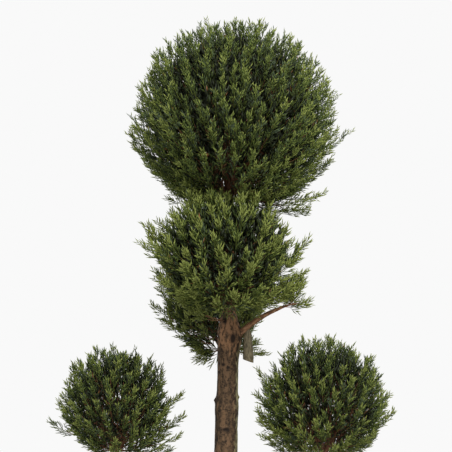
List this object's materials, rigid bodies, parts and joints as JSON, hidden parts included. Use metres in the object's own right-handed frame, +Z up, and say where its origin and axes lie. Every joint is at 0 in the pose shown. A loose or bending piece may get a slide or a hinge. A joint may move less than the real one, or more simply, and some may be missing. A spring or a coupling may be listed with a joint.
{
  "type": "potted pompom topiary",
  "caption": "Clipped evergreen topiary with round pompom heads of feathery foliage on one straight woody trunk, in a plain round terracotta pot.",
  "frame": {"origin": "middle of the pot's flat underside, on the ground", "axes": "+Z up along the trunk; -Y is the front, the side that the nearer of the two middle heads stands on; +X is to the right as seen from the front"},
  "size_m": [0.8546, 0.6301, 1.9008],
  "materials": {
    "terracotta": "unglazed, matt, with a faint bloom",
    "compost": "crumbly, matt",
    "bark": "fissured, matt",
    "dead_wood": "weathered, matt",
    "foliage": "scale leaves, slightly waxy"
  },
  "bodies": {
    "root": {"pot": "terracotta", "compost": "compost", "trunk": "bark", "left_limb": "bark", "right_limb": "bark", "rear_limb": "bark", "middle_limb": "bark", "dead_stub": "dead_wood", "top_head": "foliage", "middle_head": "foliage", "rear_head": "foliage", "left_head": "foliage", "right_head": "foliage"}
  },
  "joints": []
}
